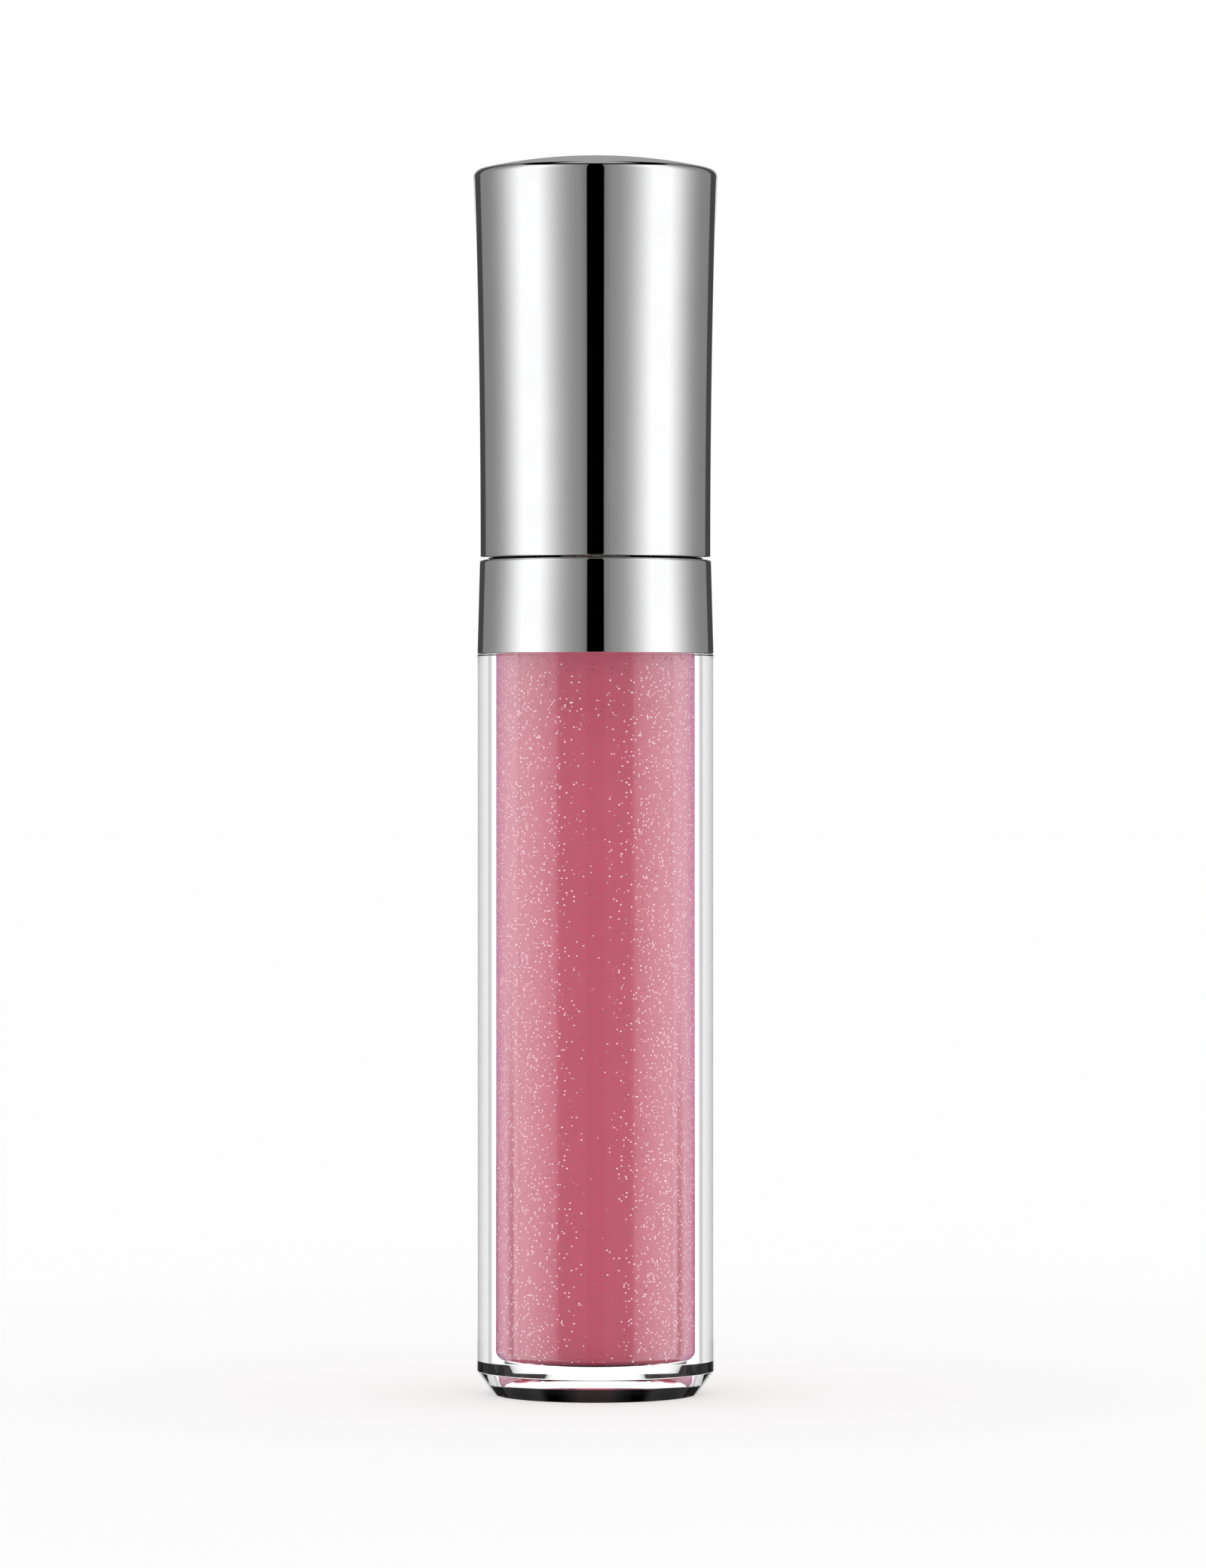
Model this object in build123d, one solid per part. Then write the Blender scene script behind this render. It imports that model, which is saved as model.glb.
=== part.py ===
from build123d import *

import os

# A lip gloss tube that stands on its foot, in millimetres. +Z is up, the axis of every round
# piece is the Z axis, and the origin is the centre of the ring that the tube stands on.
# The bottle side is the bottle, its gloss, the wiper in its neck, the collar round its shoulder
# and a label under its foot. The closure side is the cap shell, the threaded liner pressed into
# it, the stem that the liner holds, the gasket under the stem's head, and the applicator.

# ---- clearances ----
SLIP = 0.05            # radial gap of every piece that turns or slides in another
SEAT_GAP = 0.02        # gap between flat faces that part when the closure turns or lifts
THREAD_GAP = 0.05      # radial gap between the crests of the two threads

# ---- bottle ----
BARREL_RADIUS = 9.5
BARREL_HEIGHT = 59.1   # from the standing ring to the ledge that carries the collar
FOOT_INSET = 1.35      # how far the foot's bevel runs in
FOOT_BEVEL = 1.9       # and up
FOOT_ROUND = 0.45      # rounding of the bevel's two edges
RECESS_DEPTH = 0.95
RING_WIDTH = 0.85      # flat ring that the tube stands on
RESERVOIR_STEP = 0.45  # the reservoir is this much wider than the neck bore
RESERVOIR_FLOOR = 2.6
RESERVOIR_ROUND = 0.8
SHOULDER_RISE = 6.8    # height of the shoulder boss inside the collar
NECK_RISE = 11.1       # height of the neck above that boss
NECK_WALL = 1.3
NECK_TAPER = 3.0       # length of the cone between the reservoir and the neck bore
THREAD_LEAD = 2.5      # climb for each turn
THREAD_TURNS = 1.5
THREAD_DEPTH = 0.6
THREAD_ROOT = 1.3      # width of a thread ridge where it leaves the wall
THREAD_CREST = 0.6     # and at its top
THREAD_START = 1.9     # height of the neck thread's first section above the boss

# ---- collar ----
COLLAR_PROUD = 0.03    # the collar's lower edge stands this far outside the barrel
COLLAR_TAPER = 0.2     # radius that it loses on the way up
COLLAR_HEIGHT = 7.5
COLLAR_WALL = 0.75
COLLAR_ROUND = 0.5
COLLAR_BORE_GAP = 0.2  # room for the neck thread to pass through the collar's top web

# ---- wiper ----
WIPER_FLANGE = 0.8
WIPER_WALL = 0.6
WIPER_SLEEVE = 5.0
WIPER_CONE = 5.5       # height of the funnel below the sleeve
WIPER_RIM_INSET = 0.1  # the flange stops this far inside the neck's outside

# ---- gloss and label ----
FILM = 0.02            # gap that keeps the gloss out of the bottle's wall
FILL_RISE = 3.0        # the gloss reaches this far above the collar's lower edge
STEM_FILM = 0.3        # gap between the gloss and the parts of the wand
LABEL_THICKNESS = 0.12
LABEL_MARGIN = 0.15

# ---- closure ----
CAP_GAP = 0.15         # gap between the cap's rim and the collar
CAP_STEP = 0.05        # the rim is this much smaller than the collar's top
CAP_SIDE = 30.9        # height of the cap's side
CAP_FLARE = 0.48       # radius that it gains on the way up
CAP_DOME = 1.15        # rise of the top over the side
CAP_ROUND = 0.7
CAP_WALL = 0.8
CAP_TOP_WALL = 1.4
LINER_SETBACK = 0.4    # the liner's mouth sits this far above the cap's rim
LINER_WALL = 1.05
LINER_PLATE = 2.4      # plate that holds the stem's head
SOCKET_WALL = 1.3
RIB_COUNT = 4          # ribs that tie the socket to the liner's side
RIB_THICKNESS = 0.9
GASKET_THICKNESS = 1.0
GASKET_MARGIN = 0.45   # the gasket stops this far inside the neck's outside

# ---- wand ----
STEM_RADIUS = 1.94
HEAD_RADIUS = 4.2
HEAD_THICKNESS = 1.2
SHANK_RADIUS = 2.6
SHANK_LENGTH = 9.0
BEAD_RADIUS = 2.85
BEAD_HEIGHT = 1.2
BEAD_RISE = 5.5        # from the head to the bead that snaps into the socket
TIP_CLEARANCE = 5.3    # from the reservoir's floor to the applicator's tip
LEAF_LENGTH = 15.3
LEAF_MARGIN = 1.53     # room on each side of the applicator's widest place in the neck bore
LEAF_THICKNESS = 3.4
FLOCK = 0.5            # depth of the flocking over the core
PIN_RADIUS = 0.77
PIN_LENGTH = 8.7
PIN_END_GAP = 2.8      # air left in the stem's bore past the pin
DIMPLE_DEPTH = 0.35
DIMPLE_HALF_WIDTH = 0.7
DIMPLE_HALF_LENGTH = 3.2

# ---- radii and heights that follow from them ----
COLLAR_TOP_RADIUS = BARREL_RADIUS + COLLAR_PROUD - COLLAR_TAPER
COLLAR_BORE = COLLAR_TOP_RADIUS - COLLAR_WALL
BOSS_RADIUS = COLLAR_BORE - SLIP
CAP_RIM_RADIUS = COLLAR_TOP_RADIUS - CAP_STEP
CAP_BORE = CAP_RIM_RADIUS - CAP_WALL
LINER_RADIUS = CAP_BORE - SLIP
LINER_BORE = LINER_RADIUS - LINER_WALL
NECK_CREST = LINER_BORE - THREAD_DEPTH - THREAD_GAP
NECK_RADIUS = NECK_CREST - THREAD_DEPTH
NECK_BORE = NECK_RADIUS - NECK_WALL
RESERVOIR_RADIUS = NECK_BORE + RESERVOIR_STEP
FOOT_RADIUS = BARREL_RADIUS - FOOT_INSET
RECESS_RADIUS = FOOT_RADIUS - RING_WIDTH
LEAF_HALF_WIDTH = NECK_BORE - LEAF_MARGIN

BOSS_TOP = BARREL_HEIGHT + SHOULDER_RISE
NECK_TOP = BOSS_TOP + NECK_RISE
THREAD_BOTTOM = BOSS_TOP + THREAD_START
COLLAR_TOP = BARREL_HEIGHT + COLLAR_HEIGHT
CAP_RIM = COLLAR_TOP + CAP_GAP
CAP_SHOULDER = CAP_RIM + CAP_SIDE
LINER_MOUTH = CAP_RIM + LINER_SETBACK
GLOSS_LEVEL = BARREL_HEIGHT + FILL_RISE
WIPER_TOP = NECK_TOP + WIPER_FLANGE
GASKET_BOTTOM = WIPER_TOP + SEAT_GAP
HEAD_BOTTOM = GASKET_BOTTOM + GASKET_THICKNESS + SEAT_GAP
LEAF_TIP = RESERVOIR_FLOOR + TIP_CLEARANCE
LEAF_BASE = LEAF_TIP + LEAF_LENGTH
STEM_END = LEAF_BASE + SEAT_GAP
CAP_CEILING = CAP_SHOULDER + CAP_DOME - CAP_TOP_WALL
LINER_TOP = CAP_CEILING - SEAT_GAP
LINER_DECK = HEAD_BOTTOM + LINER_PLATE
SOCKET_RADIUS = BEAD_RADIUS + SOCKET_WALL


def turned(*outline):
    """Solid of revolution about Z of a closed outline, given as (radius, height) corners."""
    return revolve(Plane.XZ * make_face(Polyline(*outline, close=True)), Axis.Z)


def tube(outer, inner, bottom, top):
    """Straight ring between two heights."""
    return turned((inner, bottom), (outer, bottom), (outer, top), (inner, top))


def disc(radius, bottom, top):
    """Straight round bar between two heights."""
    return turned((0, bottom), (radius, bottom), (radius, top), (0, top))


def rings_at(solid, height, radius=None):
    """The solid's circular edges at one height, or only those of one radius."""
    circles = solid.edges().filter_by(GeomType.CIRCLE)
    return [
        edge for edge in circles
        if abs(edge.center().Z - height) < 1e-4
        and (radius is None or abs(edge.radius - radius) < 1e-4)
    ]


def thread_ridge(wall, crest, bottom):
    """One thread ridge of trapezoid section, wound on a wall towards its crest radius.

    Its foot is sunk into the wall by half the ridge's depth, so that the two fuse.
    """
    sunk = wall - (crest - wall) / 2
    path = Helix(THREAD_LEAD, THREAD_LEAD * THREAD_TURNS, sunk, center=(0, 0, bottom))
    section = Plane(origin=path @ 0, x_dir=(1, 0, 0), z_dir=path % 0)
    depth = crest - sunk
    foot = THREAD_ROOT / 2
    ridge = Polyline((0, -foot), (depth, -THREAD_CREST / 2), (depth, THREAD_CREST / 2), (0, foot), close=True)
    return sweep(section * make_face(ridge), path=path, is_frenet=True)


# ---- the bottle side ----
def bottle():
    """Thick clear bottle: bevelled foot, reservoir, shoulder boss and threaded neck."""
    body = turned(
        (0, 0), (FOOT_RADIUS, 0), (BARREL_RADIUS, FOOT_BEVEL), (BARREL_RADIUS, BARREL_HEIGHT),
        (BOSS_RADIUS, BARREL_HEIGHT), (BOSS_RADIUS, BOSS_TOP),
        (NECK_RADIUS, BOSS_TOP), (NECK_RADIUS, NECK_TOP), (0, NECK_TOP),
    )
    body = fillet(rings_at(body, 0) + rings_at(body, FOOT_BEVEL), FOOT_ROUND)
    bored = body - disc(RECESS_RADIUS, 0, RECESS_DEPTH) - reservoir(0, NECK_TOP)
    return bored + thread_ridge(NECK_RADIUS, NECK_CREST, THREAD_BOTTOM)


def reservoir(film, top):
    """The bottle's hollow up to a height, or what fills it with a film's gap to its wall."""
    wide = RESERVOIR_RADIUS - film
    narrow = NECK_BORE - film
    floor = RESERVOIR_FLOOR + film
    hollow = turned(
        (0, floor), (wide, floor), (wide, BOSS_TOP - NECK_TAPER),
        (narrow, BOSS_TOP), (narrow, NECK_TOP), (0, NECK_TOP),
    )
    hollow = fillet(rings_at(hollow, floor), RESERVOIR_ROUND)
    return hollow & disc(BARREL_RADIUS, 0, top)


def gloss():
    """The gloss, with a channel for the stem and a pocket in which the applicator turns and rises."""
    pocket = LEAF_HALF_WIDTH + LEAF_LEAN + STEM_FILM
    rise = THREAD_LEAD * THREAD_TURNS
    channel = disc(STEM_RADIUS + STEM_FILM, LEAF_BASE, GLOSS_LEVEL)
    swept = disc(pocket, LEAF_TIP - STEM_FILM, LEAF_BASE + rise)
    return reservoir(FILM, GLOSS_LEVEL) - channel - swept


def wiper():
    """Soft plug in the neck: flange on the neck's rim, sleeve, and a funnel to the wiping lip."""
    outer = NECK_BORE - SLIP
    inner = outer - WIPER_WALL
    lip = STEM_RADIUS + SLIP
    sleeve_end = NECK_TOP - WIPER_SLEEVE
    lip_end = sleeve_end - WIPER_CONE
    flange = NECK_RADIUS - WIPER_RIM_INSET
    return turned(
        (inner, WIPER_TOP), (flange, WIPER_TOP), (flange, NECK_TOP), (outer, NECK_TOP),
        (outer, sleeve_end), (lip + WIPER_WALL, lip_end), (lip, lip_end), (inner, sleeve_end),
    )


def collar():
    """Bright collar round the shoulder, with a top web that rests on the boss."""
    web_bore = NECK_CREST + COLLAR_BORE_GAP
    ring = turned(
        (COLLAR_BORE, BARREL_HEIGHT), (BARREL_RADIUS + COLLAR_PROUD, BARREL_HEIGHT),
        (COLLAR_TOP_RADIUS, COLLAR_TOP), (web_bore, COLLAR_TOP),
        (web_bore, BOSS_TOP), (COLLAR_BORE, BOSS_TOP),
    )
    return fillet(rings_at(ring, COLLAR_TOP, COLLAR_TOP_RADIUS), COLLAR_ROUND)


def base_label():
    """Round label on the ceiling of the foot's recess."""
    return disc(RECESS_RADIUS - LABEL_MARGIN, RECESS_DEPTH - LABEL_THICKNESS, RECESS_DEPTH)


# ---- the closure side ----
def cap_shell():
    """Bright one-piece cap: a side that flares upwards, a rounded corner and a shallow dome."""
    top_radius = CAP_RIM_RADIUS + CAP_FLARE
    side = TangentArc((CAP_RIM_RADIUS, CAP_RIM), (top_radius, CAP_SHOULDER), tangent=(0, 1))
    dome = TangentArc((0, CAP_SHOULDER + CAP_DOME), (top_radius, CAP_SHOULDER), tangent=(1, 0))
    inside = Polyline(
        side @ 0, (CAP_BORE, CAP_RIM), (CAP_BORE, CAP_CEILING), (0, CAP_CEILING), dome @ 0,
    )
    shell = revolve(Plane.XZ * make_face([side, dome, inside]), Axis.Z)
    return fillet(rings_at(shell, CAP_SHOULDER), CAP_ROUND)


def liner_threads():
    """The liner's thread, half a lead above the neck's so that the ridges pass between each other."""
    bottom = THREAD_BOTTOM + THREAD_LEAD / 2
    return thread_ridge(LINER_BORE, LINER_BORE - THREAD_DEPTH, bottom)


def liner_ribs():
    """Upright ribs between the socket and the liner's side, sunk a little into both."""
    reach = LINER_BORE - SOCKET_RADIUS + 2 * SLIP
    height = LINER_TOP - LINER_DECK
    middle = (LINER_BORE + SOCKET_RADIUS) / 2
    rib = Pos(middle, 0, LINER_DECK + height / 2) * Box(reach, RIB_THICKNESS, height)
    return [Rot(0, 0, 360 / RIB_COUNT * index) * rib for index in range(RIB_COUNT)]


def inner_cap():
    """Threaded liner pressed into the cap shell, with the socket that holds the stem's head."""
    body = turned(
        (0, HEAD_BOTTOM), (LINER_BORE, HEAD_BOTTOM), (LINER_BORE, LINER_MOUTH),
        (LINER_RADIUS, LINER_MOUTH), (LINER_RADIUS, LINER_TOP), (LINER_BORE, LINER_TOP),
        (LINER_BORE, LINER_DECK), (SOCKET_RADIUS, LINER_DECK), (SOCKET_RADIUS, LINER_TOP),
        (0, LINER_TOP),
    )
    through = disc(SHANK_RADIUS + SLIP, HEAD_BOTTOM, LINER_TOP)
    return body + liner_ribs() - through - stem_head(SLIP) + liner_threads()


def gasket():
    """Soft sealing washer round the stem, between the wiper's flange and the stem's head."""
    outer = NECK_RADIUS - GASKET_MARGIN
    return tube(outer, STEM_RADIUS + SLIP, GASKET_BOTTOM, GASKET_BOTTOM + GASKET_THICKNESS)


# ---- the wand ----
def stem_head(gap):
    """The stem's head, shank and snap bead, grown by a gap where it is used as a cutter."""
    shank_bottom = HEAD_BOTTOM + HEAD_THICKNESS
    bead_bottom = shank_bottom + BEAD_RISE
    bead_top = bead_bottom + BEAD_HEIGHT
    shank = SHANK_RADIUS + gap
    return turned(
        (0, HEAD_BOTTOM), (HEAD_RADIUS + gap, HEAD_BOTTOM), (HEAD_RADIUS + gap, shank_bottom + gap),
        (shank, shank_bottom + gap), (shank, bead_bottom - gap),
        (BEAD_RADIUS + gap, bead_bottom - gap), (shank, bead_top + gap),
        (shank, shank_bottom + SHANK_LENGTH), (0, shank_bottom + SHANK_LENGTH),
    )


def stem():
    """Translucent stem with its head at the top and a blind bore for the applicator's pin."""
    bore = disc(PIN_RADIUS + SLIP / 2, STEM_END, LEAF_BASE + PIN_LENGTH + PIN_END_GAP)
    return stem_head(0) + disc(STEM_RADIUS, STEM_END, HEAD_BOTTOM) - bore


# Sections of the leaf-shaped applicator, from its base at the stem to its tip: the share of its
# length, then its half width and half thickness as shares of the widest, and its lean to +X.
LEAF_SECTIONS = (
    (0.00, 0.62, 1.08, 0.00),
    (0.18, 0.88, 1.06, 0.25),
    (0.38, 1.00, 1.00, 0.55),
    (0.62, 0.84, 0.88, 0.85),
    (0.82, 0.58, 0.68, 0.95),
    (0.94, 0.38, 0.48, 0.90),
    (1.00, 0.17, 0.20, 0.80),
)
LEAF_LEAN = max(section[3] for section in LEAF_SECTIONS)


def leaf(inset):
    """The applicator's outer shape, or the shape that lies a flocking's depth inside it."""
    slices = []
    for share, width, thickness, lean in LEAF_SECTIONS:
        height = LEAF_BASE - share * (LEAF_LENGTH - inset)
        half_width = LEAF_HALF_WIDTH * width * (1 - inset / LEAF_HALF_WIDTH)
        half_thickness = LEAF_THICKNESS / 2 * thickness * (1 - 2 * inset / LEAF_THICKNESS)
        slices.append(Pos(lean, 0, height) * make_face(Ellipse(half_width, half_thickness).wire()))
    return loft(slices)


def applicator_core():
    """Leaf-shaped core with the pin that is pressed into the stem."""
    return leaf(FLOCK) + disc(PIN_RADIUS, LEAF_BASE - FLOCK, LEAF_BASE + PIN_LENGTH)


def applicator_flock():
    """Flocked skin over the core, with the dimple in its face that holds a drop of gloss."""
    depth = LEAF_THICKNESS / 2
    middle = LEAF_BASE - LEAF_LENGTH * LEAF_SECTIONS[2][0]
    drop = scale(Sphere(1), by=(DIMPLE_HALF_WIDTH, 1, DIMPLE_HALF_LENGTH))
    dimple = Pos(LEAF_SECTIONS[2][3], -depth - 1 + DIMPLE_DEPTH, middle) * drop
    return leaf(0) - leaf(FLOCK) - dimple


PARTS = (
    bottle, gloss, wiper, collar, base_label,
    cap_shell, inner_cap, gasket, stem, applicator_core, applicator_flock,
)

os.makedirs("parts", exist_ok=True)
for make in PARTS:
    export_step(make(), f"parts/{make.__name__}.step")
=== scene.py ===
# %% [markdown]
# # A lip gloss tube
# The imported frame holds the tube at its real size: a clear bottle with a bright collar, and a closure
# whose cap carries a stem and a flocked applicator. Each round piece is drawn again here as a turned
# surface with the small roundings that catch the light, in the very place that the frame gives it.
# Lengths are in metres, and a millimetre is written as MM.

import bpy
import numpy as np
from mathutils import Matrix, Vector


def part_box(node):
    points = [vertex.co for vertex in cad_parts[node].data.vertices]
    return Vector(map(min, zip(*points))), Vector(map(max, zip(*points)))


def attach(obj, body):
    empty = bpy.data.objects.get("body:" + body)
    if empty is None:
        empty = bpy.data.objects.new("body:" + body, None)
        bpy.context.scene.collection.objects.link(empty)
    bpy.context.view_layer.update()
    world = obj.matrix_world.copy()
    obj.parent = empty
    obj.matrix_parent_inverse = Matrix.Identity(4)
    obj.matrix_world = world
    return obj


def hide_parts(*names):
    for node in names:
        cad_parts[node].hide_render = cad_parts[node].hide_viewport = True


MM = 0.001
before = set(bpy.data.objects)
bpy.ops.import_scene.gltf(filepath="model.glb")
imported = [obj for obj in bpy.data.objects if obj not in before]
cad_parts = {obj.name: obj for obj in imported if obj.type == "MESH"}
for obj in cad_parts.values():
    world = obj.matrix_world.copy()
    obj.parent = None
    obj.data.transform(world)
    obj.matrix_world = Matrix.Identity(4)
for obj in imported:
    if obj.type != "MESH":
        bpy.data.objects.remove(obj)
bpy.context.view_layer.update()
scene = bpy.context.scene

# %% [markdown]
# ## Sizes
# The boxes of the frame's nodes give every height and outside radius. What a box can't tell, such as a
# bevel, a rounding or a bore, is named once: here where several pieces share it, and otherwise beside
# the piece that has it. The shapes below are worked out from both.

# %% Heights and radii from the frame
def span(node):
    """Lowest and highest height of a node, and its outside radius."""
    low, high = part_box(node)
    return low.z, high.z, high.x


FOOT_Z, NECK_TOP, BARREL_R = span("bottle")
COLLAR_BOTTOM, COLLAR_TOP, COLLAR_R = span("collar")
CAP_RIM, CAP_APEX, _ = span("cap_shell")
WIPER_LIP, WIPER_TOP, WIPER_R = span("wiper")
STEM_END, STEM_TOP, STEM_HEAD_R = span("stem")
FILL_BOTTOM, FILL_LEVEL, FILL_R = span("gloss")
LEAF_TIP, LEAF_BASE, _ = span("applicator_flock")
LINER_TOP, GASKET_TOP, PIN_TOP = (span(node)[1] for node in ("inner_cap", "gasket", "applicator_core"))
print(f"tube {CAP_APEX / MM:.1f} mm tall, barrel {2 * BARREL_R / MM:.1f} mm across")

# %% Sizes that several pieces share
FILM, SLIP = 0.02 * MM, 0.05 * MM       # gaps in the frame: between still pieces, and where one slides
NECK_WALL, FLANGE_INSET, THREAD_DEPTH = 1.3 * MM, 0.1 * MM, 0.6 * MM
COLLAR_WEB, COLLAR_WALL, COLLAR_TAPER = 0.7 * MM, 0.75 * MM, 0.2 * MM
STEM_R = 1.94 * MM

BOSS_TOP = COLLAR_TOP - COLLAR_WEB
NECK_R = WIPER_R + FLANGE_INSET
NECK_BORE = NECK_R - NECK_WALL
RESERVOIR_R = FILL_R + FILM
RESERVOIR_FLOOR = FILL_BOTTOM - FILM
COLLAR_TOP_R = COLLAR_R - COLLAR_TAPER
CAP_RIM_R = COLLAR_TOP_R - SLIP
print(f"neck {NECK_R / MM:.2f} mm, reservoir {RESERVOIR_R / MM:.2f} mm, cap's rim {CAP_RIM_R / MM:.2f} mm")

# %% [markdown]
# ## Turned surfaces
# A moulded cap or bottle is a body of revolution, so one function serves them all. It takes a profile
# of radius and height, and sweeps it round the axis as a grid of two parameters: place along the
# profile, and angle. Sharp corners would look like cut paper, so a profile's corners are first
# replaced by arcs, and a guard point on each side of an arc keeps the flats beside it flat in shading.

# %% Profiles with rounded corners
GUARD, ARC_STEPS = 0.03 * MM, 7
NEARLY_STRAIGHT = 1.55      # half angle, in radians, past which a corner is left as it is


def unit(vector):
    """The vector over its own length."""
    return vector / np.hypot(*vector)


def rounded(corners, radii):
    """Polyline whose corners are arcs.

    At a corner with radius r that turns by an angle a, the arc starts r tan(a/2) before the corner
    and ends as far after it. Its points are the centre plus r times a unit vector that swings
    evenly from one tangent point to the other.
    """
    corners = np.asarray(corners, float)
    out = [corners[:1]]
    for before, corner, after, radius in zip(corners, corners[1:], corners[2:], radii):
        to_before, to_after = before - corner, after - corner
        room = min(np.hypot(*to_before), np.hypot(*to_after))
        to_before, to_after = unit(to_before), unit(to_after)
        half = np.arccos(np.clip(to_before @ to_after, -1, 1)) / 2
        if radius == 0 or half > NEARLY_STRAIGHT:
            out.append(corner[None])
            continue
        reach = min(radius / np.tan(half), 0.49 * room)
        radius = reach * np.tan(half)
        centre = corner + unit(to_before + to_after) * radius / np.sin(half)
        start, end = corner + to_before * reach - centre, corner + to_after * reach - centre
        step = np.linspace(0, 1, ARC_STEPS + 1)[:, None]
        sweep = np.pi - 2 * half
        arc = (np.sin((1 - step) * sweep) * start + np.sin(step * sweep) * end) / np.sin(sweep)
        guard = reach + min(GUARD, 0.4 * (room - reach))
        out += [(corner + to_before * guard)[None], centre + arc, (corner + to_after * guard)[None]]
    out.append(corners[-1:])
    return np.concatenate(out)


# %% From arrays to a mesh
def six_volumes(points, faces):
    """Sum of p0 . (p1 x p2) over the triangles: six times the volume, negative if it is inside out."""
    p0, p1, p2 = (points[faces[:, corner]] for corner in range(3))
    return np.einsum("ij,ij->", p0, np.cross(p1, p2))


def mesh_object(name, points, faces):
    """Puts arrays of points and triangles into a new smooth-shaded object, turned right side out."""
    used, faces = np.unique(faces, return_inverse=True)
    points, faces = points[used], faces.reshape(-1, 3)
    if six_volumes(points, faces) < 0:
        faces = faces[:, ::-1]
    mesh = bpy.data.meshes.new(name)
    mesh.from_pydata(points.tolist(), [], faces.tolist())
    mesh.polygons.foreach_set("use_smooth", np.ones(len(faces), bool))
    mesh.update()
    piece = bpy.data.objects.new(name, mesh)
    scene.collection.objects.link(piece)
    print(f"{name}: {len(points)} points, {len(faces)} triangles")
    return piece


# %% Triangles of a grid
def grid_faces(rows, columns, first_pole, last_pole):
    """Triangles of a grid that closes on itself across its columns.

    A row that is one point in space is a pole and shares one index, which leaves fans there. With no
    pole, the last row joins the first. Triangles that use an index twice are dropped.
    """
    index = np.arange(rows * columns).reshape(rows, columns)
    if first_pole:
        index[0] = index[0, 0]
    if last_pole:
        index[-1] = index[-1, 0]
    lower, upper = (index[:-1], index[1:]) if first_pole or last_pole else (index, np.roll(index, -1, 0))
    a, b, c, d = lower, np.roll(lower, -1, 1), np.roll(upper, -1, 1), upper
    faces = np.concatenate([np.stack(corners, 2).reshape(-1, 3) for corners in ((a, b, c), (a, c, d))])
    return faces[(faces != np.roll(faces, 1, 1)).all(1)]


# %% Surface of revolution
AROUND = 512
ON_AXIS = 1e-9      # a smaller radius than this counts as none


def turned(name, profile, swell=None, around=AROUND):
    """Surface of revolution of a profile of (radius, height).

    Point (i, j) is at radius r_i plus the swell there, angle 2 pi j / N and height z_i.
    """
    radius, height = np.asarray(profile, float).T[:, :, None]
    turn = np.linspace(0, 2 * np.pi, around, endpoint=False)[None, :]
    reach = radius + (swell(turn, height, radius) if swell else 0 * turn)
    points = np.stack([reach * np.cos(turn), reach * np.sin(turn), height + 0 * turn], 2)
    faces = grid_faces(len(radius), around, radius[0, 0] < ON_AXIS, radius[-1, 0] < ON_AXIS)
    return mesh_object(name, points.reshape(-1, 3), faces)


# %% [markdown]
# ## Materials written as sums
# A node tree reads best as a formula. Signal wraps one socket, so that mask * 0.5 + noise adds the Math
# nodes by itself, and Finish.node adds any other node from its type, its settings and its inputs.

# %% A socket that adds up
class Signal:
    """A number that varies over a surface, as a node's output. Each operator adds one Math node."""

    def __init__(self, finish, socket):
        self.finish, self.socket = finish, socket

    def math(self, operation, *others, clamp=False):
        """Math node that works on this signal and the others, in that order."""
        node = self.finish.tree.nodes.new("ShaderNodeMath")
        node.operation, node.use_clamp = operation, clamp
        for slot, value in zip(node.inputs, (self, *others)):
            self.finish.feed(slot, value)
        return Signal(self.finish, node.outputs[0])

    def __add__(self, other):
        return self.math("ADD", other)

    def __sub__(self, other):
        return self.math("SUBTRACT", other)

    def __rsub__(self, other):
        return (self * -1) + other

    def __mul__(self, other):
        return self.math("MULTIPLY", other)

    def __truediv__(self, other):
        return self.math("DIVIDE", other)

    def __pow__(self, other):
        return self.math("POWER", other)

    __radd__, __rmul__ = __add__, __mul__

    def above(self, edge, soft):
        """0 well below the edge and 1 well above it, over a width of soft."""
        return ((self - edge) / soft + 0.5).math("MULTIPLY", 1.0, clamp=True)


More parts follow.
